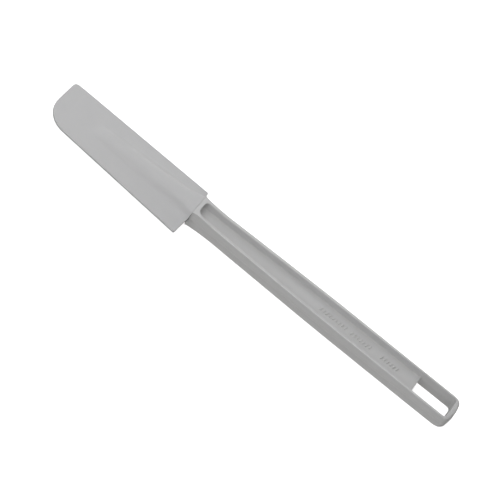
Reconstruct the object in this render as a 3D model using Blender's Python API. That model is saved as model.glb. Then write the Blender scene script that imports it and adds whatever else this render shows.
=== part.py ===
"""Narrow bowl scraper: a rigid one-piece moulded handle with an H-section grip,
a flared neck, a hang slot and a hidden tang, and a flexible moulded blade whose
thickened spine holds the pocket that the tang is pushed into.

Metres, +Z up. The scraper lies flat: +X runs from the blade to the handle's
hanging end, +Z is the front face. Everything is drawn about the handle's own
axis and then carried by one empty, so that the origin ends up at the bottom
centre of the whole object's box.
"""
import math

import bmesh
import bpy
from mathutils import Vector

# ---------------------------------------------------------------- dimensions
TOTAL_LENGTH = 0.254            # tip of the blade to the hanging end

TIP_X = -0.1270                 # furthest point of the blade
END_X = 0.1270                  # furthest point of the handle
SEAM_X = -0.0386                # base end of the blade
GAP = 0.0003                    # clearance between the two pieces

# handle, plan widths and front-to-back depths at stations along X
NECK_X = SEAM_X + GAP           # end face of the neck
WIDTH_STATIONS = ((NECK_X, 0.0135), (-0.0370, 0.0131), (-0.0355, 0.0130),
                  (-0.0310, 0.01285), (-0.0260, 0.01295), (-0.0200, 0.0132),
                  (-0.0107, 0.01365), (0.0044, 0.0142), (0.0194, 0.0148),
                  (0.0345, 0.0153), (0.0400, 0.01565), (END_X, 0.01565))
DEPTH_STATIONS = ((NECK_X, 0.0120), (-0.0355, 0.0117), (-0.0320, 0.0111),
                  (-0.0280, 0.0102), (-0.0240, 0.0097), (-0.0205, 0.0096),
                  (0.0400, 0.0100), (END_X, 0.0100))
RAIL_T = 0.00145                # thickness of each side rail
WEB_T = 0.0017                  # thickness of the web at mid-depth
NECK_WALL = 0.0021              # end wall between the channel and the blade
END_LOOP_T = 0.0032             # wall beyond the hang slot
END_CORNER_R = 0.0036           # outer corners of the hanging end
END_BOW = 0.00075               # how far the end edge bows outward
SLOT_X0 = 0.1025                # web stops here: start of the hang slot
SLOT_CORNER_R = 0.0016          # far corners of the hang slot
CHANNEL_CORNER_R = 0.0010       # corners of the channel at the neck

# tang, hidden in the blade
TANG_END_X = -0.0950
TANG_W0, TANG_W1 = 0.0080, 0.0040
TANG_T0, TANG_T1 = 0.0064, 0.0016

# blade: the two long edges at the base and at the tip, from the handle's axis
BLADE_T = 0.0016                # thickness of the sheet
BASE_Y0, BASE_Y1 = -0.0198, 0.01335
TIP_Y0, TIP_Y1 = -0.01285, 0.0155
TIP_CORNER_X0, TIP_CORNER_X1 = -0.12792, -0.1260
TIP_R0, TIP_R1 = 0.0132, 0.0016   # the large and the small tip corner
TRIM = 0.0040                   # stock past the base end, cut off square

BASE_HALF = 0.0065              # straight middle of the base end
BASE_LEAN0, BASE_LEAN1 = 0.0011, 0.0002   # how far its two ends lean back

# spine of the blade
SPINE_H0 = DEPTH_STATIONS[0][1] / 2     # flush with the neck at the base
SPINE_SLOPE = 0.0655            # fall of the crest for each unit of length
SPINE_NOSE_X = -0.0980          # start of the rounded nose
SPINE_END_X = -0.1035           # the nose has gone into the sheet
CREST_STATIONS = ((-0.0990, 0.0017), (-0.0850, 0.0013), (-0.0630, 0.0021),
                  (-0.0520, 0.0026), (-0.0460, 0.0032), (-0.0420, 0.0046),
                  (SEAM_X, 0.0053))      # half widths of the crest
FOOT_STATIONS = ((-0.1035, 0.0055), (-0.0990, 0.0073), (-0.0910, 0.0082),
                 (-0.0750, 0.0098), (-0.0460, 0.0108), (SEAM_X, 0.0114))

Z_SHIFT = SPINE_H0              # brings the lowest point to Z = 0


# ------------------------------------------------------------------- helpers
def lerp(a, b, t):
    return a + (b - a) * t


def smooth_table(table, x):
    """Smooth curve through (x, value) stations, without overshoot."""
    if x <= table[0][0]:
        return table[0][1]
    if x >= table[-1][0]:
        return table[-1][1]
    n = len(table)
    d = [(table[i + 1][1] - table[i][1]) / (table[i + 1][0] - table[i][0])
         for i in range(n - 1)]
    m = [d[0]] + [0.0] * (n - 2) + [d[-1]]
    for i in range(1, n - 1):
        if d[i - 1] * d[i] > 0:
            m[i] = 2 * d[i - 1] * d[i] / (d[i - 1] + d[i])
    for i in range(n - 1):
        x0, y0 = table[i]
        x1, y1 = table[i + 1]
        if x0 <= x <= x1:
            h = x1 - x0
            t = (x - x0) / h
            return ((2 * t ** 3 - 3 * t ** 2 + 1) * y0
                    + (t ** 3 - 2 * t ** 2 + t) * h * m[i]
                    + (-2 * t ** 3 + 3 * t ** 2) * y1
                    + (t ** 3 - t ** 2) * h * m[i + 1])


def half_width(x):
    return smooth_table(WIDTH_STATIONS, x) / 2


def half_depth(x):
    return smooth_table(DEPTH_STATIONS, x) / 2


def rounded_polygon(corners, steps=8):
    """corners: (x, y, radius), counter-clockwise. Returns the outline."""
    pts = []
    n = len(corners)
    for i, (x, y, r) in enumerate(corners):
        p = Vector((x, y))
        a = (Vector(corners[i - 1][:2]) - p).normalized()
        b = (Vector(corners[(i + 1) % n][:2]) - p).normalized()
        if r <= 0:
            pts.append((x, y))
            continue
        half = a.angle(b) / 2
        cut = r / math.tan(half)
        centre = p + (a + b).normalized() * (r / math.sin(half))
        start = p + a * cut - centre
        end = p + b * cut - centre
        a0 = math.atan2(start.y, start.x)
        a1 = math.atan2(end.y, end.x)
        while a1 < a0:
            a1 += 2 * math.pi
        for k in range(steps + 1):
            t = lerp(a0, a1, k / steps)
            pts.append((centre.x + r * math.cos(t), centre.y + r * math.sin(t)))
    return pts


def link(name, bm, material=None, smooth_angle=None):
    bmesh.ops.recalc_face_normals(bm, faces=bm.faces)
    mesh = bpy.data.meshes.new(name)
    bm.to_mesh(mesh)
    bm.free()
    if smooth_angle is not None:
        mesh.shade_smooth()
        mesh.set_sharp_from_angle(angle=smooth_angle)
    obj = bpy.data.objects.new(name, mesh)
    bpy.context.scene.collection.objects.link(obj)
    if material is not None:
        mesh.materials.append(material)
    return obj


def prism(name, outline, lo, hi, axis="Z", material=None, smooth_angle=None):
    """Extrude an outline. Axis Z takes (x, y) points, axis Y takes (x, z)."""
    bm = bmesh.new()
    if axis == "Z":
        verts = [bm.verts.new((x, y, lo)) for x, y in outline]
        step = Vector((0, 0, hi - lo))
    else:
        verts = [bm.verts.new((x, lo, z)) for x, z in outline]
        step = Vector((0, hi - lo, 0))
    face = bm.faces.new(verts)
    grown = bmesh.ops.extrude_face_region(bm, geom=[face])
    moved = [g for g in grown["geom"] if isinstance(g, bmesh.types.BMVert)]
    bmesh.ops.translate(bm, vec=step, verts=moved)
    return link(name, bm, material, smooth_angle)


def loft(name, rings, material=None, smooth_angle=None):
    """Close a stack of equal rings of points into one solid."""
    bm = bmesh.new()
    stack = [[bm.verts.new(p) for p in ring] for ring in rings]
    for low, high in zip(stack, stack[1:]):
        n = len(low)
        for i in range(n):
            bm.faces.new((low[i], low[(i + 1) % n], high[(i + 1) % n], high[i]))
    bm.faces.new(list(reversed(stack[0])))
    bm.faces.new(stack[-1])
    return link(name, bm, material, smooth_angle)


def boolean(obj, tool, operation):
    mod = obj.modifiers.new(tool.name, "BOOLEAN")
    mod.operation = operation
    mod.solver = "EXACT"
    mod.object = tool
    tool.hide_render = True
    tool.display_type = "WIRE"
    tool.parent = obj
    return mod


def plastic(name, colour, roughness):
    mat = bpy.data.materials.new(name)
    mat.use_nodes = True
    bsdf = mat.node_tree.nodes["Principled BSDF"]
    bsdf.inputs["Base Color"].default_value = (*colour, 1.0)
    bsdf.inputs["Roughness"].default_value = roughness
    bsdf.inputs["Metallic"].default_value = 0.0
    mat.diffuse_color = (*colour, 1.0)
    return mat


# --------------------------------------------------------------------- clear
for old in list(bpy.data.objects):
    bpy.data.objects.remove(old, do_unlink=True)

handle_mat = plastic("handle_plastic", (0.50, 0.49, 0.47), 0.45)
blade_mat = plastic("blade_rubber", (0.52, 0.53, 0.54), 0.55)

# Plan outline of the blade, about the middle of its base end. The two long
# edges run on past the base by the trimming stock.
tip0 = TIP_CORNER_X0 - SEAM_X
tip1 = TIP_CORNER_X1 - SEAM_X
blade_outline = rounded_polygon((
    (TRIM, lerp(TIP_Y0, BASE_Y0, (TRIM - tip0) / -tip0), 0.0),
    (TRIM, lerp(TIP_Y1, BASE_Y1, (TRIM - tip1) / -tip1), 0.0),
    (tip1, TIP_Y1, TIP_R1),
    (tip0, TIP_Y0, TIP_R0)), steps=10)
low_y = lerp(BASE_Y0, TIP_Y0, BASE_LEAN0 / -tip0)      # the leaning base corner
Y_SHIFT = -(low_y + max(y for x, y in blade_outline)) / 2

# The empty carries both pieces, with the box's middle at Y = 0.
root = bpy.data.objects.new("scraper_origin", None)
root.location = (0.0, Y_SHIFT, Z_SHIFT)
bpy.context.scene.collection.objects.link(root)

# -------------------------------------------------------------------- handle
# Plan outline of the outside: the two long sides follow the width stations,
# and the hanging end is a bowed edge between two round corners.
STEP = 0.006


def side_xs(x0, x1, step=STEP):
    n = max(1, round((x1 - x0) / step))
    return [lerp(x0, x1, i / n) for i in range(n + 1)]


neck_xs = side_xs(NECK_X, -0.0205, 0.0030)
grip_xs = side_xs(-0.0205, 0.0400, 0.0075)[1:]
end_w = half_width(END_X)
r = END_CORNER_R
corner_x = END_X - END_BOW - r
upper = [(x, half_width(x)) for x in neck_xs + grip_xs]
end_arc = []
for k in range(9):                       # upper corner, going from +Y to the end
    a = math.pi / 2 * (1 - k / 8)
    end_arc.append((corner_x + r * math.cos(a), end_w - r + r * math.sin(a)))
flat = end_w - r
bow = [(END_X - END_BOW * (y / flat) ** 2, y)
       for y in (flat * 0.6, flat * 0.25, 0.0, -flat * 0.25, -flat * 0.6)]
outline = upper + end_arc + bow + [(x, -y) for x, y in reversed(end_arc)] \
    + [(x, -y) for x, y in reversed(upper)]
handle = prism("handle", list(reversed(outline)), -0.0075, 0.0075, "Z",
               handle_mat, math.radians(35))

# Side outline: front and back faces, flaring toward the blade.
side_x = neck_xs + [0.0400, END_X + 0.001]
top = [(x, half_depth(x)) for x in side_x]
side = [(x - (0.001 if i == 0 else 0), z) for i, (x, z) in enumerate(top)]
side_outline = side + [(x, -z) for x, z in reversed(side)]
depth_form = prism("depth_form", side_outline, -0.012, 0.012, "Y")
boolean(handle, depth_form, "INTERSECT")


def channel_outline():
    """Plan outline of the channel, between the rails."""
    x0 = SEAM_X + NECK_WALL
    c = CHANNEL_CORNER_R
    xs = [x for x in neck_xs + grip_xs if x > x0 + c + 0.0008]
    up = [(x, half_width(x) - RAIL_T) for x in xs]
    y_in = half_width(x0) - RAIL_T
    start = [(x0 + c - c * math.cos(a), y_in - c + c * math.sin(a))
             for a in (0.0, math.pi / 6, math.pi / 3, math.pi / 2)]
    far = end_w - RAIL_T
    s = SLOT_CORNER_R
    xe = END_X - END_LOOP_T
    end = [(xe - s + s * math.sin(a), far - s + s * math.cos(a))
           for a in [math.pi / 2 * k / 6 for k in range(7)]]
    half = start + up + end
    return half + [(x, -y) for x, y in reversed(half)]


inner = channel_outline()
front_channel = prism("front_channel", inner, WEB_T / 2, 0.009)
back_channel = prism("back_channel", inner, -0.009, -WEB_T / 2)
boolean(handle, front_channel, "DIFFERENCE")
boolean(handle, back_channel, "DIFFERENCE")

# Hang slot: the web is left out between the rails at the end. The cutter is a
# hair wider than the channel's walls need, and keeps to the channel's outline.
slot_half = [(x, y) for x, y in inner if x > 0.05]
slot_y = end_w - RAIL_T
slot = [(SLOT_X0, -slot_y), *[(x, y) for x, y in reversed(slot_half) if y < 0],
        *[(x, y) for x, y in reversed(slot_half) if y > 0], (SLOT_X0, slot_y)]
hang_slot = prism("hang_slot", slot, -0.0020, 0.0020)
boolean(handle, hang_slot, "DIFFERENCE")

# Tang: a flat taper that starts inside the neck's end wall.
rings = []
for x in (NECK_X + 0.0010, NECK_X, TANG_END_X + 0.0015, TANG_END_X):
    t = max(0.0, (NECK_X - x) / (NECK_X - TANG_END_X))
    w = lerp(TANG_W0, TANG_W1, t) / 2
    d = lerp(TANG_T0, TANG_T1, t) / 2
    if x == TANG_END_X:
        w, d = w - 0.0006, d - 0.0003
    c = 0.25 * d
    rings.append([(x, w - c, d), (x, -w + c, d), (x, -w, d - c), (x, -w, -d + c),
                  (x, -w + c, -d), (x, w - c, -d), (x, w, -d + c), (x, w, d - c)])
tang = loft("tang_form", rings)
boolean(handle, tang, "UNION")
handle.parent = root

# --------------------------------------------------------------------- blade
# Drawn about its own origin, the middle of its base end on the handle's axis.
blade = prism("blade", blade_outline, -BLADE_T / 2, BLADE_T / 2, "Z",
              blade_mat, math.radians(35))

# Spine: full depth of the neck at the base, a rounded ridge from there on. Its
# flanks are steepest near the crest and run out long and hollow into the sheet.
def flank(u):
    """1 at the crest's edge, 0 at the foot."""
    t = u ** 0.65
    return 1 - t * t * (3 - 2 * t)


rings = []
xs = [SEAM_X + TRIM / 2, SEAM_X] + [lerp(SEAM_X, SPINE_NOSE_X, k / 11)
                                    for k in range(1, 12)]
xs += [lerp(SPINE_NOSE_X, SPINE_END_X, k / 3) for k in (1, 2, 3)]
for x in xs:
    h = SPINE_H0 - SPINE_SLOPE * max(0.0, SEAM_X - x)
    if x < SPINE_NOSE_X:
        t = (SPINE_NOSE_X - x) / (SPINE_NOSE_X - SPINE_END_X)
        h = lerp(BLADE_T / 4, h, math.sqrt(max(0.0, 1 - t * t)))
    a = smooth_table(CREST_STATIONS, x)
    b = smooth_table(FOOT_STATIONS, x)
    half = [(b, BLADE_T / 4)]
    half += [(lerp(a, b, u), lerp(min(h, BLADE_T / 2), h, flank(u)))
             for u in (0.58, 0.40, 0.25, 0.10, 0.0)]
    dx = x - SEAM_X
    ring = [(dx, y, z) for y, z in half] + [(dx, -y, z) for y, z in reversed(half)]
    ring += [(dx, -y, -z) for y, z in half] + [(dx, y, -z) for y, z in reversed(half)]
    rings.append(ring)
spine = loft("spine_form", rings)
boolean(blade, spine, "UNION")

# The base end is cut across sheet and spine: square at the neck, leaning back
# a little toward both long edges.
lean0 = BASE_LEAN0 / (-BASE_Y0 - BASE_HALF)
lean1 = BASE_LEAN1 / (BASE_Y1 - BASE_HALF)
reach = 0.04
trim = prism("base_trim", [
    (0.0, -BASE_HALF), (-lean0 * (reach - BASE_HALF), -reach), (0.02, -reach),
    (0.02, reach), (-lean1 * (reach - BASE_HALF), reach), (0.0, BASE_HALF)],
    -0.02, 0.02)
boolean(blade, trim, "DIFFERENCE")

# Pocket: the tang's own taper with clearance all round, open at the base.
rings = []
for x in (NECK_X + 0.0020, NECK_X, TANG_END_X - GAP):
    t = (NECK_X - x) / (NECK_X - TANG_END_X)
    w = lerp(TANG_W0, TANG_W1, t) / 2 + GAP
    d = lerp(TANG_T0, TANG_T1, t) / 2 + GAP
    rings.append([(x - SEAM_X, y, z) for y, z in
                  ((w, d), (-w, d), (-w, -d), (w, -d))])
pocket = loft("pocket_form", rings)
boolean(blade, pocket, "DIFFERENCE")
blade.location = (SEAM_X, 0.0, 0.0)
blade.parent = root
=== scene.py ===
import math

import bmesh
import bpy
from mathutils import Matrix, Vector
from mathutils.geometry import delaunay_2d_cdt


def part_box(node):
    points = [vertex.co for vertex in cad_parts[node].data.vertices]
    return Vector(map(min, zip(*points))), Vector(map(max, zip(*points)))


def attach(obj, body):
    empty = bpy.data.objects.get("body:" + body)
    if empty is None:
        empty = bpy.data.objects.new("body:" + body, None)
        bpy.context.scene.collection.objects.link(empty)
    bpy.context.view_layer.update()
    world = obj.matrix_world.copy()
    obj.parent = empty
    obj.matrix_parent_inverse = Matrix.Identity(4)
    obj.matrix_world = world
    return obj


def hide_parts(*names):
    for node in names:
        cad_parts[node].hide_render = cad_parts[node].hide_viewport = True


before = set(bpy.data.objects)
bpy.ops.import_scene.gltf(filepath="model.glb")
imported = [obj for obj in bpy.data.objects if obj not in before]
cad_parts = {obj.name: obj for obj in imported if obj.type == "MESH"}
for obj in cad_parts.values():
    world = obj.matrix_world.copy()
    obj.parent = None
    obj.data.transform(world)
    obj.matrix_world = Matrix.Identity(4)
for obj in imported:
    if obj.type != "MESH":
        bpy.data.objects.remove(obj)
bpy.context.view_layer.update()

MM = 0.001

# The handle's own axis in the row frame, from the CAD pieces: the handle is
# symmetric about it in Y, and the blade's spine is symmetric about it in Z.
h_lo, h_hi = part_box("handle")
b_lo, b_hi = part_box("blade")
AX_Y = (h_lo.y + h_hi.y) / 2
AX_Z = (b_lo.z + b_hi.z) / 2
SEAM = b_hi.x / MM                # base end of the blade, mm
TIP = b_lo.x / MM                 # tip of the blade, mm
END = h_hi.x / MM                 # hanging end of the handle, mm
NECK = SEAM + 0.03                # end face of the neck, mm
TANG_END = h_lo.x / MM            # end of the tang, mm


# ------------------------------------------------------------------ helpers
def lerp(a, b, t):
    return a + (b - a) * t


def smoothstep(a, b, x):
    t = min(1.0, max(0.0, (x - a) / (b - a)))
    return t * t * (3 - 2 * t)


def table(stations, x):
    """Smooth curve through (x, value) stations without overshoot."""
    if x <= stations[0][0]:
        return stations[0][1]
    if x >= stations[-1][0]:
        return stations[-1][1]
    n = len(stations)
    d = [(stations[i + 1][1] - stations[i][1]) / (stations[i + 1][0] - stations[i][0])
         for i in range(n - 1)]
    m = [d[0]] + [0.0] * (n - 2) + [d[-1]]
    for i in range(1, n - 1):
        if d[i - 1] * d[i] > 0:
            m[i] = 2 * d[i - 1] * d[i] / (d[i - 1] + d[i])
    for i in range(n - 1):
        x0, y0 = stations[i]
        x1, y1 = stations[i + 1]
        if x0 <= x <= x1:
            h = x1 - x0
            t = (x - x0) / h
            return ((2 * t ** 3 - 3 * t ** 2 + 1) * y0 + (t ** 3 - 2 * t ** 2 + t) * h * m[i]
                    + (-2 * t ** 3 + 3 * t ** 2) * y1 + (t ** 3 - t ** 2) * h * m[i + 1])


def place(x, y, z):
    """Millimetres about the handle's axis to metres in the row frame."""
    return Vector((x * MM, AX_Y + y * MM, AX_Z + z * MM))


def spaced(a, b, step):
    n = max(1, round(abs(b - a) / step))
    return [lerp(a, b, i / n) for i in range(n + 1)]


def new_object(name, bm, sharp=None):
    bmesh.ops.recalc_face_normals(bm, faces=bm.faces)
    mesh = bpy.data.meshes.new(name)
    bm.to_mesh(mesh)
    bm.free()
    mesh.shade_smooth()
    if sharp is not None:
        mesh.set_sharp_from_angle(angle=math.radians(sharp))
    obj = bpy.data.objects.new(name, mesh)
    bpy.context.scene.collection.objects.link(obj)
    return obj


def loft(name, rings):
    bm = bmesh.new()
    stack = [[bm.verts.new(p) for p in ring] for ring in rings]
    for low, high in zip(stack, stack[1:]):
        n = len(low)
        for i in range(n):
            bm.faces.new((low[i], low[(i + 1) % n], high[(i + 1) % n], high[i]))
    bm.faces.new(list(reversed(stack[0])))
    bm.faces.new(stack[-1])
    return new_object(name, bm)


def apply_booleans(obj, tools, sharp=35):
    for tool, op in tools:
        mod = obj.modifiers.new(tool.name, "BOOLEAN")
        mod.operation = op
        mod.solver = "EXACT"
        mod.object = tool
    deps = bpy.context.evaluated_depsgraph_get()
    mesh = bpy.data.meshes.new_from_object(obj.evaluated_get(deps))
    obj.modifiers.clear()
    old = obj.data
    obj.data = mesh
    mesh.name = obj.name
    bpy.data.meshes.remove(old)
    for tool, _ in tools:
        data = tool.data
        bpy.data.objects.remove(tool)
        bpy.data.meshes.remove(data)
    mesh.shade_smooth()
    mesh.set_sharp_from_angle(angle=math.radians(sharp))


def rounded_rect(x, w, d, r, steps=5):
    """Ring in the plane X = x: half width w in Y, half depth d in Z."""
    ring = []
    for cy, cz, a0 in ((w - r, d - r, 0), (-(w - r), d - r, 90),
                       (-(w - r), -(d - r), 180), (w - r, -(d - r), 270)):
        for k in range(steps + 1):
            a = math.radians(a0 + 90 * k / steps)
            ring.append(place(x, cy + r * math.cos(a), cz + r * math.sin(a)))
    return ring


# ---------------------------------------------------------- handle: geometry
WIDTH = ((NECK, 13.6), (-37.9, 13.3), (-37.0, 13.08), (-35.5, 12.85), (-31.0, 12.6),
         (-26.0, 12.67), (-20.0, 12.92), (-10.7, 13.38), (4.4, 14.0), (19.4, 14.63),
         (34.5, 15.2), (44.0, 15.45), (57.0, 15.6), (90.0, 15.7), (END, 15.8))
DEPTH = ((NECK, 11.95), (-36.0, 11.85), (-33.0, 11.45), (-29.0, 10.8), (-25.0, 10.3),
         (-20.5, 10.05), (-10.0, 10.05), (20.0, 10.0), (50.0, 10.0), (END - 3.6, 10.05),
         (END, 9.0))
RAIL = ((-36.0, 1.95), (-16.0, 1.85), (20.0, 1.7), (60.0, 1.55), (90.0, 1.35),
        (101.0, 1.22), (END, 1.20))    # at the rim
WALL_DRAFT = 0.25           # each rail is this much thicker at the web
WEB = 0.85                  # half thickness of the web
FLOOR_R = 0.55              # fillet where the rails meet the web
START_R = 1.5               # the same fillet at the channel's start
# rounding of the rims' outer edges
FRONT_R = ((NECK + 0.2, 0.12), (NECK + 1.6, 0.25), (-34.0, 0.35), (-29.0, 0.35),
           (-10.0, 0.28), (45.0, 0.30), (90.0, 0.45), (END, 0.5))
BACK_R = ((NECK + 0.2, 0.12), (NECK + 1.6, 0.25), (-30.0, 0.25), (20.0, 0.3), (END, 0.3))
END_RIM_R = (0.9, 1.5)      # the same round the hanging end, front and back
# rounding of the rims' inner edges
INNER_R = ((SEAM + 2.3, 0.20), (-33.5, 0.65), (20.0, 0.60), (60.0, 0.45), (98.0, 0.20),
           (END, 0.20))
CHANNEL_X = SEAM + 2.1      # start of the channel
CHANNEL_CORNER = 2.7        # corners of the channel's start, in plan
SLOT_X = 102.5
SLOT_END = END - 3.2
END_BOW = 0.5               # how far the end edge bows outward
CORNER = 3.4                # outer corners of the hanging end
EDGE_FRONT = 0.30           # the end face leans back this far to each rim


def hw(x):
    return table(WIDTH, x) / 2


def hd(x):
    return table(DEPTH, x) / 2


def rail(x):
    return table(RAIL, x)


def floor_r(x):
    return lerp(START_R, FLOOR_R, smoothstep(CHANNEL_X - 0.1, CHANNEL_X + 5.5, x))


def edge_r(x):
    return table(INNER_R, x)


def rim_r(x, side):
    along = table(FRONT_R if side > 0 else BACK_R, x)
    at_end = END_RIM_R[0] if side > 0 else END_RIM_R[1]
    return lerp(along, at_end, smoothstep(END - 6.5, END - 1.5, x))


def wall_draft(x):
    return WALL_DRAFT * (1 - smoothstep(SLOT_END - 3.0, SLOT_END - 0.5, x))


def web_half(x):
    if x < 0.0:                             # thicker toward the neck
        return WEB + 0.4 * (1 - smoothstep(-36.0, -8.0, x))
    r = 0.3                                 # rounded edge where the web stops
    if x > SLOT_X - r:
        s = min(1.0, (x - (SLOT_X - r)) / r)
        return WEB - r * (1 - math.sqrt(max(0.0, 1 - s * s)))
    return WEB


def handle_outlines():
    """Matched outlines of the outside and of the channel, upper half first.
    Each entry: outer point, inner point. Runs from the neck to the end."""
    wn = hw(NECK)
    rc = 0.35
    outer, inner = [], []
    # neck end face and its corner
    for y in spaced(0.0, wn - rc, 1.1):
        outer.append((NECK, y))
    for k in range(1, 5):
        a = math.pi / 2 * k / 4
        outer.append((NECK + rc - rc * math.cos(a), wn - rc + rc * math.sin(a)))
    ci = CHANNEL_CORNER
    start = CHANNEL_X + ci
    wi = hw(start) - rail(start)
    n_side = 6
    for k in range(1, n_side + 1):
        x = lerp(NECK + rc, start, k / n_side)
        outer.append((x, hw(x)))
    n_arc = 9
    n_flat = len(outer) - n_arc
    for k in range(n_flat):
        inner.append((CHANNEL_X, (wi - ci) * k / n_flat))
    for k in range(n_arc):
        a = math.pi / 2 * k / (n_arc - 1)
        inner.append((start - ci * math.cos(a), wi - ci + ci * math.sin(a)))
    # long sides
    xs = spaced(start, -20.0, 0.8)[1:] + spaced(-20.0, 40.0, 1.5)[1:] \
        + spaced(40.0, SLOT_X - 0.3, 2.5)[1:]
    xs += [SLOT_X - 0.3 + 0.3 * math.sin(math.pi / 2 * k / 4) for k in range(1, 5)]
    corner_x = END - END_BOW - CORNER
    inner_r = 1.85
    inner_x = SLOT_END - inner_r
    x_run = inner_x - 0.2
    xs += spaced(SLOT_X, x_run, 2.0)[1:]
    for x in xs:
        outer.append((x, hw(x)))
        inner.append((x, hw(x) - rail(x)))
    # the outside corner and the inside corner of the hanging end, both with a
    # straight piece before the arc
    w = hw(END)
    n, outer_run, inner_run = 18, 4, 1
    for k in range(1, n + 1):
        if k <= outer_run:
            x = lerp(x_run, corner_x, k / outer_run)
            outer.append((x, lerp(hw(x_run), w, k / outer_run)))
        else:
            a = math.pi / 2 * (1 - (k - outer_run) / (n - outer_run))
            outer.append((corner_x + CORNER * math.cos(a),
                          w - CORNER + CORNER * math.sin(a)))
        if k <= inner_run:
            inner.append((lerp(x_run, inner_x, k / inner_run), w - rail(END)))
        else:
            b = math.pi / 2 * (1 - (k - inner_run) / (n - inner_run))
            inner.append((inner_x + inner_r * math.cos(b),
                          w - rail(END) - inner_r + inner_r * math.sin(b)))
    flat_o = w - CORNER
    flat_i = w - rail(END) - inner_r
    m = 6
    for k in range(1, m + 1):
        t = k / m
        y = flat_o * (1 - t)
        outer.append((END - END_BOW * (y / flat_o) ** 2, y))
        inner.append((SLOT_END, flat_i * (1 - t)))
    return outer, inner


def close_loop(half):
    """Mirror a half outline that starts and ends on the axis."""
    return half + [(x, -y) for x, y in reversed(half[1:-1])]


def loop_normals(loop):
    """Outward 2-D normals of a closed loop that runs clockwise from the neck."""
    n = len(loop)
    out = []
    for i in range(n):
        x0, y0 = loop[i - 1]
        x1, y1 = loop[(i + 1) % n]
        tx, ty = x1 - x0, y1 - y0
        length = math.hypot(tx, ty) or 1.0
        out.append((-ty / length, tx / length))
    return out


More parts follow.
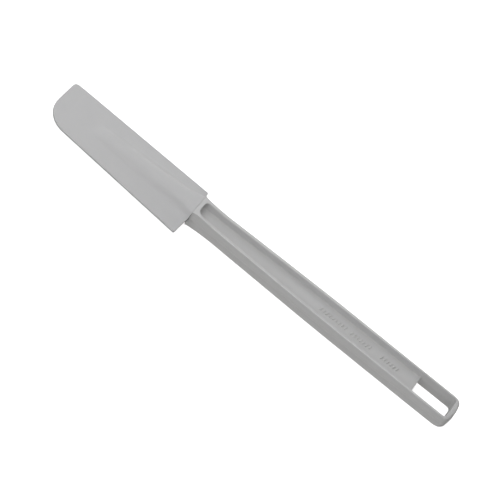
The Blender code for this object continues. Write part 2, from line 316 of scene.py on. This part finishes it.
def build_handle():
    outer_half, inner_half = handle_outlines()
    outer, inner = close_loop(outer_half), close_loop(inner_half)
    n = len(outer)
    half_n = len(outer_half)
    no, ni = loop_normals(outer), loop_normals(inner)

    def end_share(x):
        return smoothstep(END - 6.0, END - 1.5, x)

    def draft(x):
        """Lean of the outside wall between mid-depth and rim. None at the neck's end."""
        return lerp(0.0, 0.10, smoothstep(NECK + 0.2, NECK + 3.0, x)) \
            + (EDGE_FRONT - 0.10) * end_share(x)

    def make_rings(side):
        """Rings of (x, y, height) from mid-depth, over the rim and down the
        channel's walls, for the front (side 1) or the back (side -1)."""
        rings = []
        radius = []                    # rounding of the outer edge, as room allows
        for (x, y), (xi, yi) in zip(outer, inner):
            room = math.hypot(x - xi, y - yi) - edge_r(xi) - draft(x) - 0.12
            radius.append(max(0.10, min(rim_r(x, side), room)))

        def outer_ring(s, lift):
            ring = []
            for (x, y), (nx, ny), r in zip(outer, no, radius):
                h = hd(x)
                z = s * (h - r)
                d = draft(x) * z / h - lift * smoothstep(NECK + 0.1, NECK + 0.6, x)
                ring.append((x - nx * d, y - ny * d, z))
            return ring

        # outside wall, with a fine parting line at mid-depth
        for s, lift in ((0.0, 0.04), (0.022, 0.04), (0.032, 0.0), (0.30, 0.0),
                        (0.62, 0.0), (0.93, 0.0), (1.0, 0.0)):
            rings.append(outer_ring(s, lift))
        # rounding to the rim
        for k in range(1, 8):
            a = math.pi / 2 * k / 7
            ring = []
            for (x, y), (nx, ny), r in zip(outer, no, radius):
                d = draft(x) + r * (1 - math.cos(a))
                px = x - nx * d
                ring.append((px, y - ny * d, lerp(hd(x), hd(px), k / 7) - r + r * math.sin(a)))
            rings.append(ring)
        last_outer = rings[-1]
        # inner edge of the rim, and the rim between
        inner_top = [(x + nx * edge_r(x), y + ny * edge_r(x))
                     for (x, y), (nx, ny) in zip(inner, ni)]
        for t in (0.12, 0.5, 0.88):
            rings.append([(lerp(a[0], b[0], t), lerp(a[1], b[1], t),
                           hd(lerp(a[0], b[0], t)))
                          for a, b in zip(last_outer, inner_top)])
        for k in range(0, 6):
            a = math.pi / 2 * k / 5
            ring = []
            for (x, y), (nx, ny) in zip(inner, ni):
                r = edge_r(x)
                d = r * (1 - math.sin(a))
                ring.append((x + nx * d, y + ny * d,
                             hd(x + nx * d) - r + r * math.cos(a)))
            rings.append(ring)
        # rail walls down to the start of the floor's fillet
        for t in (0.06, 0.35, 0.7, 0.94, 1.0):
            ring = []
            for (x, y), (nx, ny) in zip(inner, ni):
                top = hd(x) - edge_r(x)
                low = web_half(x) + floor_r(x)
                z = lerp(top, low, t)
                d = wall_draft(x) * (1 - z / hd(x))
                ring.append((x - nx * d, y - ny * d, z))
            rings.append(ring)
        return rings

    bm = bmesh.new()

    def add(p, side):
        return bm.verts.new(place(p[0], p[1], p[2] * side))

    halves = []
    mid = [add(p, 1) for p in make_rings(1)[0]]
    slot_first = min(i for i in range(half_n) if inner_half[i][0] >= SLOT_X - 1e-6)
    slot_last = n - slot_first
    channel = list(range(slot_last, n)) + list(range(0, slot_first + 1))
    slot = list(range(slot_first, slot_last + 1))
    slot_mid = {}
    for side in (1, -1):
        rings = make_rings(side)
        stack = [mid] + [[add(p, side) for p in ring] for ring in rings[1:]]
        for low, high in zip(stack, stack[1:]):
            for i in range(n):
                j = (i + 1) % n
                bm.faces.new((low[i], low[j], high[j], high[i]))
        low_ring = stack[-1]
        # slot walls down to mid-depth
        walls = {}
        for i in slot:
            x, y = inner[i]
            nx, ny = ni[i]
            column = [low_ring[i]]
            z0 = rings[-1][i][2]
            for t in (0.5,):
                z = z0 * (1 - t)
                d = wall_draft(x) * (1 - z / hd(x))
                column.append(add((x - nx * d, y - ny * d, z), side))
            if i not in slot_mid:
                d = wall_draft(x)
                slot_mid[i] = add((x - nx * d, y - ny * d, 0.0), 1)
            column.append(slot_mid[i])
            walls[i] = column
        for a, b in zip(slot, slot[1:]):
            for k in range(2):
                bm.faces.new((walls[a][k], walls[b][k], walls[b][k + 1], walls[a][k + 1]))
        # floor fillet along the channel
        arcs = {}
        for i in channel:
            x, y = inner[i]
            nx, ny = ni[i]
            web = web_half(x)
            r = floor_r(x)
            d0 = wall_draft(x) * (1 - (web + r) / hd(x))
            column = [low_ring[i]]
            for k in range(1, 7):
                a = math.pi / 2 * k / 6
                d = d0 + r * (1 - math.cos(a))
                z = web + r * (1 - math.sin(a))
                column.append(add((x - nx * d, y - ny * d, z), side))
            arcs[i] = column
        for a, b in zip(channel, channel[1:]):
            for k in range(6):
                bm.faces.new((arcs[a][k], arcs[b][k], arcs[b][k + 1], arcs[a][k + 1]))
        # floor: strips between mirrored stations. The first strip starts at
        # the straight foot of the end wall, which has as many points.
        first = next(i for i in range(1, slot_first) if
                     abs(inner[i][0] - CHANNEL_X) > 1e-6)
        m_across = 2 * (first - 1)
        lines = {first - 1: [arcs[i][-1] for i in range(first - 1, 0, -1)]
                 + [arcs[0][-1]] + [arcs[n - i][-1] for i in range(1, first)]}
        for i in range(first, slot_first + 1):
            a, b = arcs[i][-1], arcs[n - i][-1]
            lines[i] = [a] + [bm.verts.new(a.co.lerp(b.co, k / m_across))
                              for k in range(1, m_across)] + [b]
        for i in range(first - 1, slot_first):
            la, lb = lines[i], lines[i + 1]
            for k in range(m_across):
                bm.faces.new((la[k], la[k + 1], lb[k + 1], lb[k]))
        halves.append((arcs, walls, lines))
    # end face of the web
    (arcs_f, walls_f, lines_f), (arcs_b, walls_b, lines_b) = halves
    up, down = slot_first, slot_last % n
    face = list(arcs_f[up]) + lines_f[up][1:-1] + list(reversed(arcs_f[down]))
    face += walls_f[down][1:] + list(reversed(walls_b[down][:-1]))
    face += arcs_b[down][1:] + list(reversed(lines_b[up][1:-1])) + list(reversed(arcs_b[up]))
    face += walls_b[up][1:] + list(reversed(walls_f[up][:-1]))[:-1]
    bm.faces.new(face)
    # neck end face: the outer ring's stations at X = NECK are one flat patch already
    return new_object("handle_moulding", bm, sharp=40)


# --------------------------------------------------------- tang and pocket
TANG_W = (4.0, 2.0)         # half width at the neck and at the end
TANG_D = (3.2, 0.8)         # half thickness at the neck and at the end


def tang_ring(x, grow=0.0, r=0.45):
    t = max(0.0, (NECK - x) / (NECK - TANG_END))
    return rounded_rect(x, lerp(*TANG_W, t) + grow, lerp(*TANG_D, t) + grow, r)


def build_tang():
    rings = [rounded_rect(NECK + 1.2, TANG_W[0], TANG_D[0], 0.45)]
    for x in spaced(NECK, TANG_END + 1.6, 3.0):
        rings.append(tang_ring(x))
    for k in range(1, 6):                       # rounded end
        a = math.pi / 2 * k / 5
        x = TANG_END + 1.6 - 1.6 * math.sin(a)
        c = math.cos(a)
        rings.append(rounded_rect(x, 2.06 - 0.9 * (1 - c), 0.86 - 0.55 * (1 - c),
                                  max(0.12, 0.45 - 0.33 * (1 - c))))
    return loft("tang_form", rings)


def build_pocket():
    rings = [rounded_rect(NECK + 2.0, TANG_W[0] + 0.3, TANG_D[0] + 0.3, 0.6)]
    for x in spaced(NECK, TANG_END + 1.6, 6.0):
        rings.append(tang_ring(x, 0.3, 0.6))
    rings.append(rounded_rect(TANG_END + 0.4, 2.0, 0.85, 0.5))
    rings.append(rounded_rect(TANG_END - 0.3, 1.3, 0.5, 0.3))
    return loft("pocket_form", rings)


# ----------------------------------------------------------- blade: geometry
BASE_Y0, BASE_Y1 = -19.8, 13.35
TIP_Y0, TIP_Y1 = -12.85, 15.5
TIP_X0, TIP_X1 = TIP - 0.75, TIP + 1.0
TIP_R0, TIP_R1 = 13.2, 2.8
BASE_HALF = 6.5
LEAN0, LEAN1 = 1.1, 0.1
EDGE_HALF = 0.70            # half thickness of the sheet at its long edges
TAPER = 0.060               # gain in half thickness for each mm inward
SHEET_MAX = 1.25
EDGE_R = 0.26               # rounding of the sheet's edges
SPINE_TOP = 6.0
SPINE_SLOPE = 0.0655
NOSE_X0, NOSE_X1 = -96.5, -104.5
CREST = ((-99.0, 1.7), (-85.0, 1.3), (-63.0, 2.1), (-52.0, 2.6), (-46.0, 3.2),
         (-42.0, 4.6), (SEAM, 5.3))
FOOT = ((-104.5, 5.5), (-99.0, 7.3), (-91.0, 8.2), (-75.0, 9.8), (-46.0, 10.8),
        (SEAM, 11.4))


def edge_y(x, upper):
    """Long edge of the blade at station x."""
    if upper:
        return lerp(BASE_Y1, TIP_Y1, (SEAM - x) / (SEAM - TIP_X1))
    return lerp(BASE_Y0, TIP_Y0, (SEAM - x) / (SEAM - TIP_X0))


def sheet_half(x, y):
    """Half thickness of the sheet, without the spine."""
    inward = min(edge_y(x, True) - y, y - edge_y(x, False))
    flat = smoothstep(-90.0, -119.0, x)
    rise = TAPER * max(0.0, inward)
    rise = SHEET_MAX - EDGE_HALF - soft_min(rise, SHEET_MAX - EDGE_HALF)
    rise = SHEET_MAX - EDGE_HALF - rise
    return EDGE_HALF + rise * (1 - 0.86 * flat) - 0.08 * smoothstep(-112.0, -127.0, x)


def soft_min(a, b, k=0.12):
    """min(a, b) with a round corner."""
    h = max(0.0, min(1.0, 0.5 + 0.5 * (b - a) / k))
    return lerp(b, a, h) - k * h * (1 - h)


def flank(u):
    """Cross-section of the spine's side: a steep shoulder and a long hollow foot."""
    t = min(1.0, max(0.0, u))
    return 1 - 0.60 * smoothstep(0.12, 0.56, t) - 0.40 * (1 - (1 - t) ** 2)


def blade_half(x, y):
    sheet = sheet_half(x, y)
    top = SPINE_TOP - SPINE_SLOPE * max(0.0, SEAM - x)
    top -= 0.05 * smoothstep(SEAM - 1.2, SEAM, x)
    if x < NOSE_X1:
        return sheet
    nose = smoothstep(NOSE_X1, NOSE_X0, x)
    a, b = table(CREST, x), table(FOOT, x)
    f = flank((abs(y) - a) / (b - a)) if abs(y) > a else 1.0
    return sheet + max(0.0, top - sheet) * nose * f


def rounded_outline(corners, step):
    """Closed outline through rounded corners, with points every step."""
    pts = []
    n = len(corners)
    arcs = []
    for i, (x, y, r) in enumerate(corners):
        p = Vector((x, y))
        a = (Vector(corners[i - 1][:2]) - p).normalized()
        b = (Vector(corners[(i + 1) % n][:2]) - p).normalized()
        half = a.angle(b) / 2
        cut = r / math.tan(half)
        centre = p + (a + b).normalized() * (r / math.sin(half))
        s, e = p + a * cut - centre, p + b * cut - centre
        a0, a1 = math.atan2(s.y, s.x), math.atan2(e.y, e.x)
        turn = (a1 - a0 + math.pi) % (2 * math.pi) - math.pi
        m = max(3, round(abs(turn) * r / (step * 0.8)), round(abs(turn) / math.radians(9)))
        arcs.append([centre + Vector((math.cos(a0 + turn * k / m),
                                      math.sin(a0 + turn * k / m))) * r
                     for k in range(m + 1)])
    for i, arc in enumerate(arcs):
        pts += arc
        nxt = arcs[(i + 1) % n][0]
        gap = (nxt - arc[-1]).length
        m = max(1, round(gap / step))
        pts += [arc[-1].lerp(nxt, k / m) for k in range(1, m)]
    out = [pts[0]]
    for p in pts[1:]:
        if (p - out[-1]).length > 1e-3:
            out.append(p)
    return [(p.x, p.y) for p in out]


def build_blade():
    # counter-clockwise: base end from -Y to +Y, then the upper edge to the tip
    def lean(y):
        if y > BASE_HALF:
            return LEAN1 * (y - BASE_HALF) / (BASE_Y1 - BASE_HALF)
        if y < -BASE_HALF:
            return LEAN0 * (-y - BASE_HALF) / (-BASE_Y0 - BASE_HALF)
        return 0.0

    corners = [
        (SEAM - LEAN0, edge_y(SEAM - LEAN0, False), 0.9),
        (SEAM, -BASE_HALF, 3.0),
        (SEAM, BASE_HALF, 3.0),
        (SEAM - LEAN1, edge_y(SEAM - LEAN1, True), 0.9),
        (TIP_X1, TIP_Y1, TIP_R1),
        (TIP_X0, TIP_Y0, TIP_R0)]
    step = 0.75
    outline = rounded_outline(corners, step)
    n = len(outline)
    normals = []
    for i in range(n):
        x0, y0 = outline[i - 1]
        x1, y1 = outline[(i + 1) % n]
        length = math.hypot(x1 - x0, y1 - y0)
        normals.append(((y1 - y0) / length, -(x1 - x0) / length))

    def inset(i, d):
        return outline[i][0] - normals[i][0] * d, outline[i][1] - normals[i][1] * d

    bm = bmesh.new()
    rings = []
    ring0 = [(outline[i][0], outline[i][1], 0.0) for i in range(n)]
    # the base end is cut nearly square, the other edges are rounded
    er = [lerp(EDGE_R, 0.10, smoothstep(SEAM - 2.5, SEAM - 1.2, x)) for x, y in outline]
    local = []
    for i in range(n):
        x, y = inset(i, er[i] + 0.02)
        local.append(blade_half(x, y))
    rings.append(ring0)
    rings.append([(*inset(i, 0.02), (local[i] - er[i]) * 0.9) for i in range(n)])
    rings.append([(*inset(i, 0.02), local[i] - er[i]) for i in range(n)])
    for k in range(1, 5):
        a = math.pi / 2 * k / 4
        ring = []
        for i in range(n):
            x, y = inset(i, 0.02 + er[i] * (1 - math.cos(a)))
            ring.append((x, y, local[i] - er[i] * (1 - math.sin(a))))
        rings.append(ring)
    ring = []
    for i in range(n):
        x, y = inset(i, EDGE_R + 0.20)
        ring.append((x, y, blade_half(x, y)))
    rings.append(ring)
    inner = [(p[0], p[1]) for p in rings[-1]]

    # points of a regular grid inside, kept clear of the innermost ring
    def clearance(x, y):
        best = 1e9
        for k in range(n):
            ax, ay = inner[k]
            bx, by = inner[(k + 1) % n]
            dx, dy = bx - ax, by - ay
            t = ((x - ax) * dx + (y - ay) * dy) / (dx * dx + dy * dy)
            t = min(1.0, max(0.0, t))
            best = min(best, math.hypot(x - ax - dx * t, y - ay - dy * t))
        return best

    def inside(x, y):
        c = False
        j = n - 1
        for i in range(n):
            xi, yi = inner[i]
            xj, yj = inner[j]
            if (yi > y) != (yj > y) and x < (xj - xi) * (y - yi) / (yj - yi) + xi:
                c = not c
            j = i
        return c

    pts = [Vector(p) for p in inner]
    g = 0.75
    xs = [TIP + g * (k + 0.5) for k in range(int((SEAM - TIP) / g))]
    ys = [BASE_Y0 + g * (k + 0.5) for k in range(int((TIP_Y1 - BASE_Y0) / g) + 1)]
    for x in xs:
        for y in ys:
            near_edge = (y > edge_y(x, True) - 3 or y < edge_y(x, False) + 3
                         or x > SEAM - 4 or x < TIP + 12)
            if near_edge and (not inside(x, y) or clearance(x, y) < 0.40):
                continue
            pts.append(Vector((x, y)))
    edges = [(i, (i + 1) % n) for i in range(n)]
    co, _, faces, *_ = delaunay_2d_cdt(pts, edges, [], 1, 1e-7)
    mid = [bm.verts.new(place(*p)) for p in rings[0]]
    for side in (1, -1):
        stack = [mid] + [[bm.verts.new(place(x, y, z * side)) for x, y, z in ring]
                         for ring in rings[1:]]
        for low, high in zip(stack, stack[1:]):
            for i in range(n):
                j = (i + 1) % n
                bm.faces.new((low[i], low[j], high[j], high[i]))
        verts = []
        for k, p in enumerate(co):
            if k < n:
                verts.append(stack[-1][k])
            else:
                verts.append(bm.verts.new(place(p.x, p.y, side * blade_half(p.x, p.y))))
        for f in faces:
            bm.faces.new([verts[k] for k in f])
    return new_object("blade_moulding", bm, sharp=40)




# ------------------------------------------------- raised marks on the web
def slanted_bar(bm, x, y, length, width, slant, low, high):
    """Small raised bar with a bevelled top, standing in the channel's floor."""
    ux, uy = math.sin(slant), math.cos(slant)
    rings = []
    for grow, z in ((0.05, low), (0.05, high - 0.20), (0.0, high - 0.02), (-0.06, high)):
        hl, hwid = length / 2 + grow, width / 2 + grow
        r = min(hwid * 0.98, 0.30 + grow)
        ring = []
        for cu, cv, a0 in ((hl - r, hwid - r, 0), (-(hl - r), hwid - r, 90),
                           (-(hl - r), -(hwid - r), 180), (hl - r, -(hwid - r), 270)):
            for k in range(4):
                a = math.radians(a0 + 90 * k / 3)
                u, v = cu + r * math.cos(a), cv + r * math.sin(a)
                ring.append(bm.verts.new(place(x + ux * u + uy * v, y + uy * u - ux * v, z)))
        rings.append(ring)
    for lo_ring, hi_ring in zip(rings, rings[1:]):
        n = len(lo_ring)
        for i in range(n):
            bm.faces.new((lo_ring[i], lo_ring[(i + 1) % n], hi_ring[(i + 1) % n], hi_ring[i]))
    bm.faces.new(list(reversed(rings[0])))
    bm.faces.new(rings[-1])


def build_marks():
    """Plain rows of slanted bars, a moulded decoration without meaning."""
    bm = bmesh.new()
    for first, count in ((41.6, 9), (61.2, 7), (80.6, 6)):
        for k in range(count):
            slanted_bar(bm, first + 1.95 * k, 0.7, 2.4, 0.64, math.radians(16),
                        WEB - 0.25, WEB + 0.45)
    return new_object("marks_form", bm)


handle = build_handle()
apply_booleans(handle, [(build_tang(), "UNION"), (build_marks(), "UNION")])
blade = build_blade()
apply_booleans(blade, [(build_pocket(), "DIFFERENCE")])


def shape_attributes(obj):
    """Store how convex and how hollow each vertex is, for wear and for the painted shade in the
    hollows.
    """
    bm = bmesh.new()
    bm.from_mesh(obj.data)
    edge = [0.0] * len(bm.verts)
    hollow = [0.0] * len(bm.verts)
    bm.verts.ensure_lookup_table()
    for e in bm.edges:
        if len(e.link_faces) != 2:
            continue
        angle = e.calc_face_angle_signed(0.0)
        for v in e.verts:
            edge[v.index] = max(edge[v.index], smoothstep(0.10, 0.36, angle))
            hollow[v.index] = max(hollow[v.index], smoothstep(0.08, 0.24, -angle))
    bm.free()
    for name, values in (("worn_edge", edge), ("hollow", hollow)):
        attribute = obj.data.attributes.new(name, "FLOAT", "POINT")
        attribute.data.foreach_set("value", values)


shape_attributes(handle)
shape_attributes(blade)


# ------------------------------------------------------------------ materials
class Graph:
    """Small helper to build a node tree in reading order."""

    def __init__(self, name):
        self.mat = bpy.data.materials.new(name)
        self.mat.use_nodes = True
        self.nodes = self.mat.node_tree.nodes
        self.links = self.mat.node_tree.links
        self.shader = self.nodes["Principled BSDF"]
        self.place = self.nodes.new("ShaderNodeTexCoord").outputs["Object"]

    def put(self, socket, value):
        if isinstance(value, bpy.types.NodeSocket):
            self.links.new(value, socket)
        else:
            socket.default_value = value

    def math(self, op, a, b=0.0, clamp=False):
        node = self.nodes.new("ShaderNodeMath")
        node.operation = op
        node.use_clamp = clamp
        self.put(node.inputs[0], a)
        self.put(node.inputs[1], b)
        return node.outputs[0]

    def stretch(self, scale, turn=(0.0, 0.0, 0.0)):
        node = self.nodes.new("ShaderNodeMapping")
        self.links.new(self.place, node.inputs["Vector"])
        node.inputs["Rotation"].default_value = turn
        node.inputs["Scale"].default_value = scale
        return node.outputs[0]

    def noise(self, scale, detail=2.0, rough=0.5, vector=None, distortion=0.0):
        node = self.nodes.new("ShaderNodeTexNoise")
        self.links.new(vector or self.place, node.inputs["Vector"])
        node.inputs["Scale"].default_value = scale
        node.inputs["Detail"].default_value = detail
        node.inputs["Roughness"].default_value = rough
        node.inputs["Distortion"].default_value = distortion
        return node.outputs["Fac"]

    def ramp(self, value, low, high, out_low=0.0, out_high=1.0):
        node = self.nodes.new("ShaderNodeMapRange")
        node.interpolation_type = "SMOOTHSTEP"
        self.put(node.inputs["Value"], value)
        node.inputs["From Min"].default_value = low
        node.inputs["From Max"].default_value = high
        node.inputs["To Min"].default_value = out_low
        node.inputs["To Max"].default_value = out_high
        return node.outputs["Result"]

    def mix(self, fac, a, b):
        node = self.nodes.new("ShaderNodeMix")
        node.data_type = "RGBA"
        self.put(node.inputs[0], fac)
        self.put(node.inputs[6], a)
        self.put(node.inputs[7], b)
        return node.outputs[2]

    def attribute(self, name):
        node = self.nodes.new("ShaderNodeAttribute")
        node.attribute_name = name
        return node.outputs["Fac"]

    def along(self, axis):
        node = self.nodes.new("ShaderNodeSeparateXYZ")
        self.links.new(self.place, node.inputs[0])
        return node.outputs[axis]

    def bump(self, height, depth, strength=1.0, before=None):
        node = self.nodes.new("ShaderNodeBump")
        node.inputs["Strength"].default_value = strength
        node.inputs["Distance"].default_value = depth
        self.links.new(height, node.inputs["Height"])
        if before is not None:
            self.links.new(before, node.inputs["Normal"])
        return node.outputs["Normal"]


def grey(value, warm=0.0, green=0.0):
    return (value * (1 + warm), value * (1 + green), value * (1 - 1.3 * warm), 1.0)


HANDLE_TONE = 0.42
BLADE_TONE = 0.386


def handle_plastic():
    """Satin injection-moulded plastic: fine mould grain, drawn polish lines
    along the length, handling scuffs, paler worn edges, painted shade in the corners."""
    g = Graph("handle_satin_plastic")
    cloud = g.noise(38.0, 3.0, 0.55)
    mottle = g.noise(210.0, 3.0, 0.6)
    grain = g.noise(3400.0, 2.0, 0.6)
    peel = g.noise(520.0, 2.0, 0.5)
    drawn = g.noise(900.0, 3.0, 0.65, g.stretch((0.035, 1.0, 1.0)))
    fine = g.noise(1500.0, 2.0, 0.6, g.stretch((0.03, 1.0, 1.0), (0.0, 0.06, 0.22)), 0.3)
    cross = g.noise(1300.0, 2.0, 0.6, g.stretch((1.0, 0.035, 1.0), (0.05, 0.0, -0.35)), 0.4)
    patches = g.ramp(g.noise(85.0, 2.0, 0.5), 0.46, 0.64)
    scratch = g.math("MULTIPLY", g.math("MAXIMUM", g.ramp(fine, 0.665, 0.74),
                                        g.ramp(cross, 0.69, 0.76)), patches)
    worn = g.math("MULTIPLY", g.attribute("worn_edge"), g.ramp(mottle, 0.30, 0.72))
    # painted shade: the colour turns darker and slightly warm in the concave corners and fillets,
    # where shade falls; the same mask raises the roughness
    corner_shade = g.math("MULTIPLY", g.attribute("hollow"), g.ramp(cloud, 0.30, 0.75, 0.25, 1.0))
    tone = g.mix(g.ramp(cloud, 0.30, 0.70), grey(HANDLE_TONE * 0.985, 0.001),
                 grey(HANDLE_TONE * 1.02, -0.002))
    tone = g.mix(g.ramp(mottle, 0.35, 0.70, 0.0, 0.5), tone, grey(HANDLE_TONE * 0.975, 0.003))
    tone = g.mix(g.math("MULTIPLY", worn, 0.40), tone, grey(HANDLE_TONE * 1.05, 0.0))
    tone = g.mix(g.math("MULTIPLY", corner_shade, 0.28), tone, grey(HANDLE_TONE * 0.80, 0.03))
    tone = g.mix(g.math("MULTIPLY", scratch, 0.32), tone, grey(HANDLE_TONE * 1.22, 0.0))
    g.put(g.shader.inputs["Base Color"], tone)
    rough = g.math("ADD", g.ramp(cloud, 0.3, 0.7, 0.45, 0.52), g.ramp(mottle, 0.3, 0.7, -0.03, 0.03))
    rough = g.math("ADD", rough, g.math("MULTIPLY", worn, 0.06))
    rough = g.math("ADD", rough, g.math("MULTIPLY", g.math("MAXIMUM", scratch, corner_shade), 0.10), True)
    g.put(g.shader.inputs["Roughness"], rough)
    height = g.bump(grain, 0.000016)
    height = g.bump(peel, 0.000030, 0.8, height)
    height = g.bump(drawn, 0.000012, 0.8, height)
    height = g.bump(g.math("SUBTRACT", 1.0, scratch), 0.000020, 0.7, height)
    g.put(g.shader.inputs["Normal"], height)
    g.shader.inputs["IOR"].default_value = 1.49
    g.shader.inputs["Specular IOR Level"].default_value = 0.45
    return g.mat


def blade_rubber():
    """Matte flexible elastomer: soft eggshell grain, wiping marks across the
    working end, a slightly polished edge."""
    g = Graph("blade_matte_elastomer")
    cloud = g.noise(30.0, 3.0, 0.5)
    mottle = g.noise(170.0, 3.0, 0.6)
    grain = g.noise(2600.0, 3.0, 0.62)
    shell = g.noise(420.0, 2.0, 0.5)
    wipe = g.noise(620.0, 3.0, 0.6, g.stretch((1.0, 0.045, 1.0), (0.0, 0.0, 0.30)), 0.4)
    drag = g.noise(760.0, 3.0, 0.6, g.stretch((0.05, 1.0, 1.0), (0.0, 0.0, -0.10)), 0.3)
    use = g.ramp(g.along(0), TIP * MM + 0.060, TIP * MM + 0.006, 0.15, 1.0)
    marks = g.math("MULTIPLY", g.math("MAXIMUM", g.ramp(wipe, 0.60, 0.74),
                                      g.ramp(drag, 0.63, 0.75)), use)
    worn = g.math("MULTIPLY", g.attribute("worn_edge"), g.ramp(mottle, 0.28, 0.66))
    # painted shade: darker, slightly warm colour in the concave corners, where shade falls
    corner_shade = g.math("MULTIPLY", g.attribute("hollow"), g.ramp(cloud, 0.3, 0.75, 0.2, 1.0))
    tone = g.mix(g.ramp(cloud, 0.30, 0.70), grey(BLADE_TONE * 0.99, -0.005, -0.005),
                 grey(BLADE_TONE * 1.012, -0.002, -0.005))
    tone = g.mix(g.ramp(mottle, 0.35, 0.70, 0.0, 0.5), tone, grey(BLADE_TONE * 0.982, -0.005, -0.005))
    tone = g.mix(g.math("MULTIPLY", marks, 0.20), tone, grey(BLADE_TONE * 1.10, 0.0))
    tone = g.mix(g.math("MULTIPLY", worn, 0.30), tone, grey(BLADE_TONE * 1.08, 0.0))
    tone = g.mix(g.math("MULTIPLY", corner_shade, 0.22), tone, grey(BLADE_TONE * 0.86, 0.01))
    g.put(g.shader.inputs["Base Color"], tone)
    rough = g.math("ADD", g.ramp(cloud, 0.3, 0.7, 0.56, 0.62), g.ramp(mottle, 0.3, 0.7, -0.03, 0.03))
    rough = g.math("SUBTRACT", rough, g.math("MULTIPLY", worn, 0.10))
    rough = g.math("ADD", rough, g.math("MULTIPLY", marks, 0.08), True)
    g.put(g.shader.inputs["Roughness"], rough)
    height = g.bump(grain, 0.000014)
    height = g.bump(shell, 0.000022, 0.7, height)
    height = g.bump(marks, 0.000010, 0.6, height)
    g.put(g.shader.inputs["Normal"], height)
    g.shader.inputs["IOR"].default_value = 1.42
    g.shader.inputs["Specular IOR Level"].default_value = 0.40
    g.shader.inputs["Sheen Weight"].default_value = 0.03
    g.shader.inputs["Sheen Roughness"].default_value = 0.6
    return g.mat


for piece, material in ((handle, handle_plastic()), (blade, blade_rubber())):
    piece.data.materials.clear()
    piece.data.materials.append(material)


# --------------------------------------------------- camera, lights and floor
theta = math.radians(38.0)
roll = math.radians(38.85)
ex = Vector((1, 0, 0))
eup = Vector((0, math.cos(theta), math.sin(theta)))
back = Vector((0, -math.sin(theta), math.cos(theta)))
R = math.cos(roll) * ex + math.sin(roll) * eup
U = -math.sin(roll) * ex + math.cos(roll) * eup
D = 1.80
cam_data = bpy.data.cameras.new("camera")
cam_data.sensor_width = 36.0
cam_data.lens = 36.0 * 1994 * D / 500
cam = bpy.data.objects.new("camera", cam_data)
bpy.context.scene.collection.objects.link(cam)
target = Vector((-0.00464, AX_Y, AX_Z)) + eup * 0.0016
m = Matrix((R, U, back)).transposed().to_4x4()
m.translation = target + back * D
cam.matrix_world = m
bpy.context.scene.camera = cam

# soft studio: round softboxes on a ring about the object, and a weak warm
# bounce from below instead of a bright floor's own
SOFTBOX_DISTANCE, SOFTBOX_SIZE = 1.2, 0.70
centre = Vector((0.0, AX_Y, AX_Z))
for azimuth, elevation, power in ((0, 12, 1.07), (135, 38, 4.97), (135, 65, 3.88),
                                  (225, 38, 5.08), (270, 12, 2.18), (270, 38, 1.07),
                                  (270, 65, 4.08), (315, 38, 2.09), (45, 38, 0.29),
                                  (90, 12, 5.78)):
    a, e = math.radians(azimuth), math.radians(elevation)
    toward = Vector((math.cos(a) * math.cos(e), math.sin(a) * math.cos(e), math.sin(e)))
    light = bpy.data.lights.new(f"softbox_{azimuth}_{elevation}", "AREA")
    light.shape = "DISK"
    light.size = SOFTBOX_SIZE
    light.energy = power
    lamp = bpy.data.objects.new(light.name, light)
    bpy.context.scene.collection.objects.link(lamp)
    lamp.location = centre + toward * SOFTBOX_DISTANCE
    lamp.rotation_euler = (-toward).to_track_quat("-Z", "Y").to_euler()
    lamp.visible_camera = False

world = bpy.data.worlds.new("world")
bpy.context.scene.world = world
world.use_nodes = True
tree = world.node_tree
background = tree.nodes["Background"]
world.cycles.sampling_method = "NONE"
direction = tree.nodes.new("ShaderNodeTexCoord")
split = tree.nodes.new("ShaderNodeSeparateXYZ")
tree.links.new(direction.outputs["Generated"], split.inputs[0])
below = tree.nodes.new("ShaderNodeMapRange")
below.interpolation_type = "SMOOTHSTEP"
below.inputs["From Min"].default_value = 0.05
below.inputs["From Max"].default_value = -0.05
below.inputs["To Min"].default_value = 0.0
below.inputs["To Max"].default_value = 0.464
tree.links.new(split.outputs["Z"], below.inputs["Value"])
tree.links.new(below.outputs["Result"], background.inputs["Strength"])
background.inputs["Color"].default_value = (1.015, 1.0, 0.98, 1.0)

# the floor is a pale sheet that runs up into an even white backdrop
bm = bmesh.new()
bmesh.ops.create_circle(bm, cap_ends=True, segments=96, radius=6.0)
floor = new_object("floor", bm)
g = Graph("floor_paper")
g.put(g.shader.inputs["Base Color"],
      g.mix(g.ramp(g.noise(6.0, 2.0), 0.3, 0.7), grey(0.85), grey(0.86)))
g.put(g.shader.inputs["Roughness"], g.ramp(g.noise(900.0, 2.0), 0.3, 0.7, 0.65, 0.75))
g.put(g.shader.inputs["Normal"], g.bump(g.noise(1500.0, 2.0), 0.00001))
distance = g.nodes.new("ShaderNodeVectorMath")
distance.operation = "LENGTH"
g.links.new(g.place, distance.inputs[0])
g.shader.inputs["Emission Color"].default_value = (1, 1, 1, 1)
g.put(g.shader.inputs["Emission Strength"],
      g.ramp(distance.outputs["Value"], 0.25, 0.70, 0.72, 0.992))
floor.data.materials.append(g.mat)
bm = bmesh.new()
bmesh.ops.create_uvsphere(bm, u_segments=48, v_segments=24, radius=6.2)
backdrop = new_object("backdrop", bm)
white = bpy.data.materials.new("backdrop_white")
white.use_nodes = True
white.node_tree.nodes.remove(white.node_tree.nodes["Principled BSDF"])
glow = white.node_tree.nodes.new("ShaderNodeEmission")
glow.inputs["Color"].default_value = (1, 1, 1, 1)
glow.inputs["Strength"].default_value = 0.992
white.node_tree.links.new(glow.outputs[0],
                          white.node_tree.nodes["Material Output"].inputs["Surface"])
backdrop.data.materials.append(white)
for stage in (floor, backdrop):
    stage.visible_diffuse = False
    stage.visible_glossy = False
backdrop.visible_shadow = False
bpy.context.scene.view_settings.view_transform = "Standard"

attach(handle, "handle_body")
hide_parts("handle")
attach(blade, "blade_body")
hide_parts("blade")
